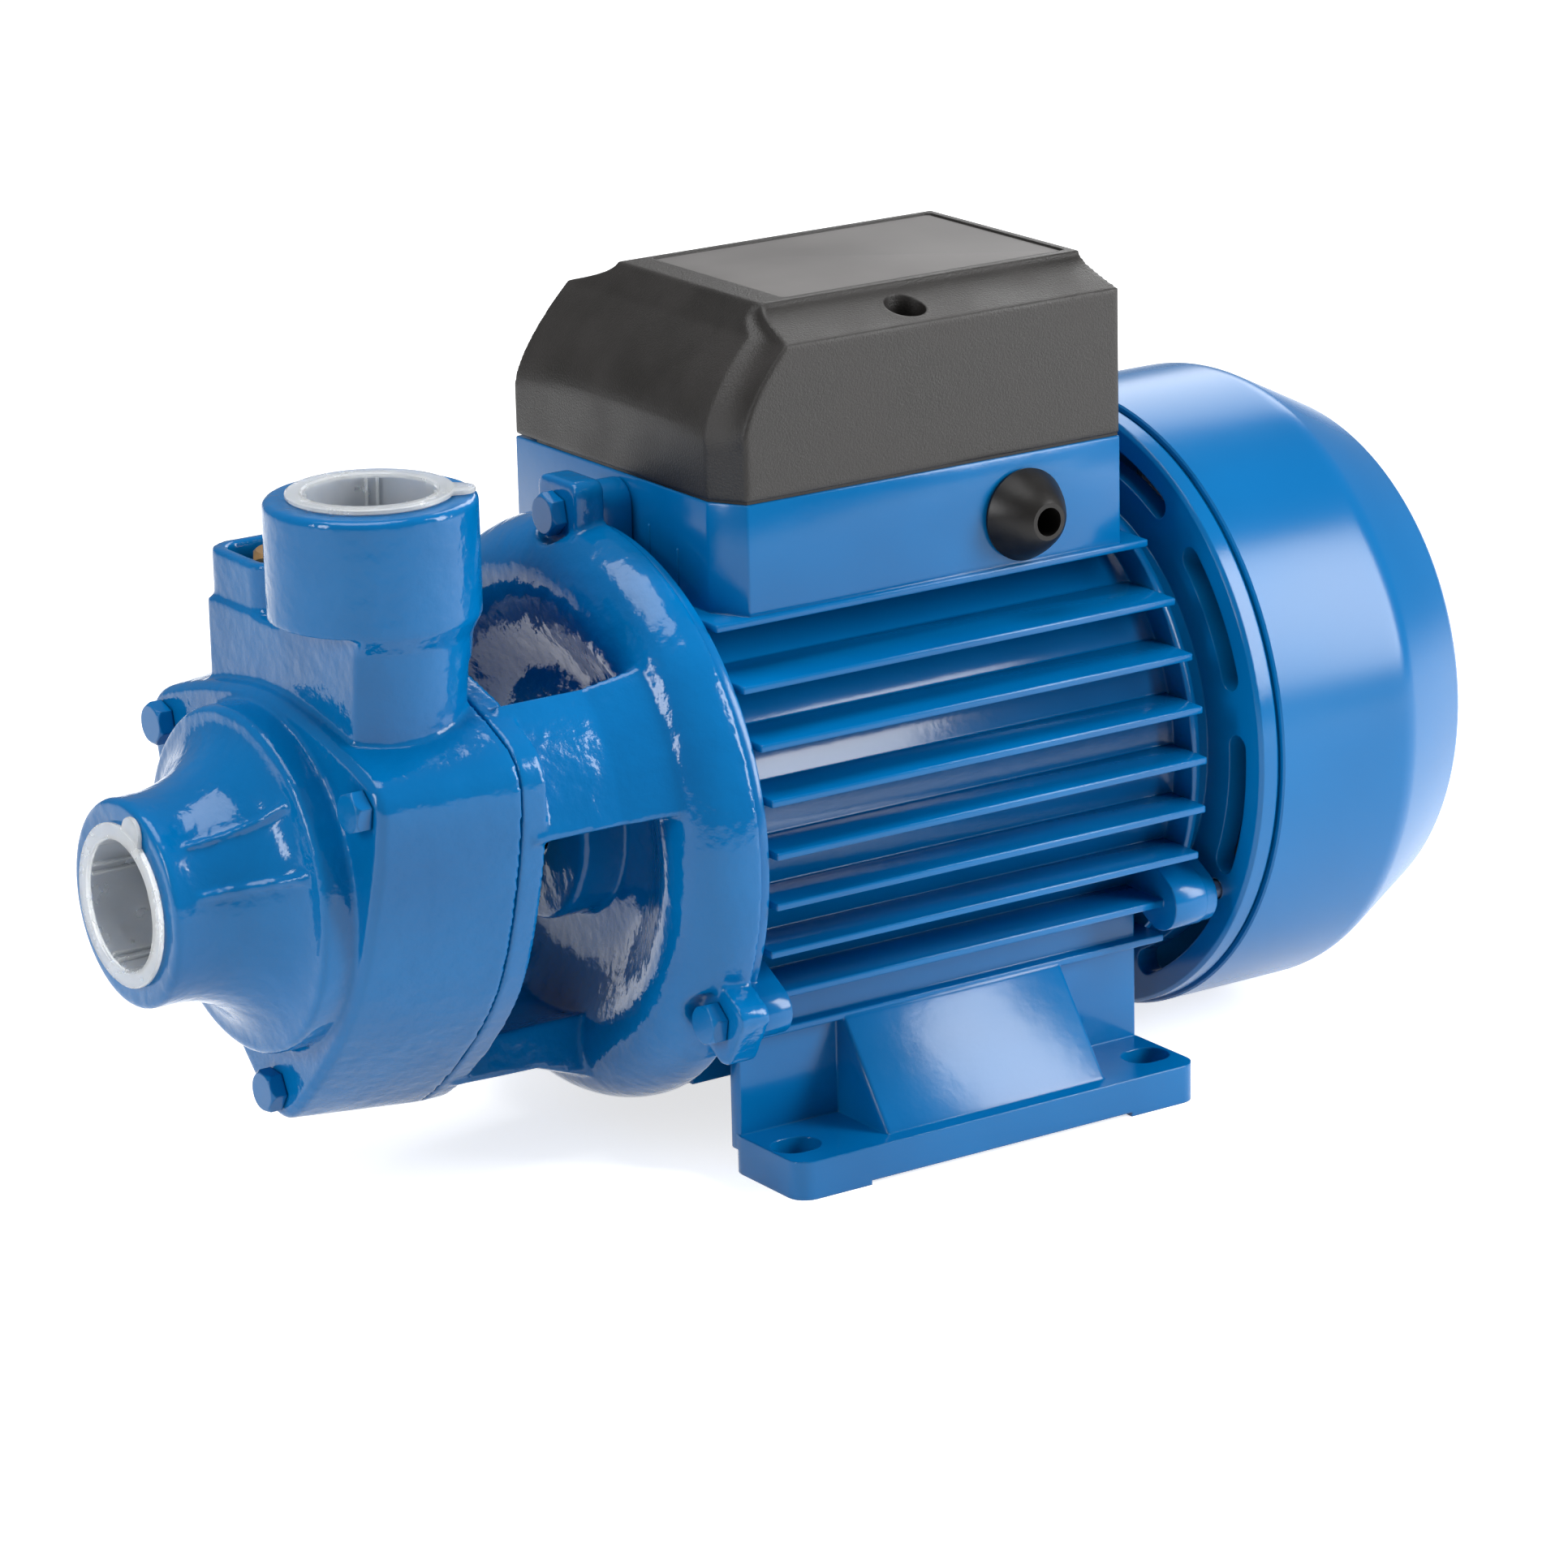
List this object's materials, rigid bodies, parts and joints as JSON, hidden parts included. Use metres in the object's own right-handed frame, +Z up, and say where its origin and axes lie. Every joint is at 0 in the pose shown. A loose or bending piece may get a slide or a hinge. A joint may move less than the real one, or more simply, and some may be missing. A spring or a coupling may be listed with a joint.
{
  "type": "centrifugal water pump",
  "caption": "Electric water pump: finned motor on a footed housing with terminal box and fan cover, bolted by an open bracket to a pump body with front inlet and top outlet.",
  "frame": {"origin": "on the floor under the middle of the pump's box, the undersides of the feet being at Z = 0", "axes": "+X along the shaft from the inlet towards the fan cover, +Z up, -Y the side with the cable grommet"},
  "size_m": [0.3176, 0.146, 0.1885],
  "materials": {
    "blue_paint": "gloss",
    "black_plastic": "matte",
    "black_rubber": "matte",
    "cap_plastic": "satin",
    "brass": "satin",
    "green_washer": "matte",
    "seal_ceramic": "gloss",
    "lamination_steel": "matte",
    "winding_copper": "satin",
    "aluminium": "satin",
    "grey_plastic": "matte",
    "steel": "satin"
  },
  "bodies": {
    "pump": {"pump_body": "blue_paint", "motor_bracket": "blue_paint", "motor_housing": "blue_paint", "rear_end_shield": "blue_paint", "fan_cover": "blue_paint", "terminal_box_lid": "black_plastic", "terminal_box_gasket": "black_rubber", "cable_grommet": "black_rubber", "pump_body_bolt_1": "blue_paint", "pump_body_bolt_2": "blue_paint", "pump_body_bolt_3": "blue_paint", "bracket_bolt_1": "blue_paint", "bracket_bolt_2": "blue_paint", "bracket_bolt_3": "blue_paint", "shield_screw_1": "steel", "shield_screw_2": "steel", "shield_screw_3": "steel", "lid_screw_near": "steel", "lid_screw_far": "steel", "body_o_ring": "black_rubber", "seal_seat": "seal_ceramic", "front_bearing_outer": "steel", "rear_bearing_outer": "steel", "bearing_wave_spring": "steel", "stator_core": "lamination_steel", "winding_front": "winding_copper", "winding_rear": "winding_copper", "terminal_board": "black_plastic", "run_capacitor": "grey_plastic"},
    "rotor": {"shaft": "steel", "rotor_core": "lamination_steel", "rotor_ring_front": "aluminium", "rotor_ring_rear": "aluminium", "impeller": "brass", "impeller_key": "steel", "impeller_circlip": "steel", "seal_head": "black_rubber", "seal_spring": "steel", "slinger": "black_rubber", "cooling_fan": "grey_plastic", "fan_circlip": "steel", "front_bearing_inner": "steel", "rear_bearing_inner": "steel"},
    "inlet_plug_cap": {"inlet_cap": "cap_plastic"},
    "outlet_plug_cap": {"outlet_cap": "cap_plastic"},
    "washer": {"priming_washer": "green_washer"},
    "plug": {"priming_plug": "brass"}
  },
  "joints": [
    {"name": "rotor_spin", "type": "hinge", "parent": "pump", "child": "rotor", "pos_m": [-0.09035, 0, 0.075], "axis": [1, 0, 0], "continuous": true},
    {"name": "inlet_cap_pull", "type": "slide", "parent": "pump", "child": "inlet_plug_cap", "axis": [-1, 0, 0], "range_m": [0, 0.018]},
    {"name": "outlet_cap_pull", "type": "slide", "parent": "pump", "child": "outlet_plug_cap", "axis": [0, 0, 1], "range_m": [0, 0.018]},
    {"name": "priming_lift", "type": "slide", "parent": "pump", "child": "washer", "axis": [0, 0, 1], "range_m": [0, 0.0107]},
    {"name": "priming_turn", "type": "hinge", "parent": "washer", "child": "plug", "pos_m": [-0.10515, 0.017, 0.135], "axis": [0, 0, 1], "range_deg": [0, 2900]}
  ],
  "couplings": [
    {"joint": "priming_turn", "follows": "priming_lift", "rad_per_m": 4699.5}
  ]
}
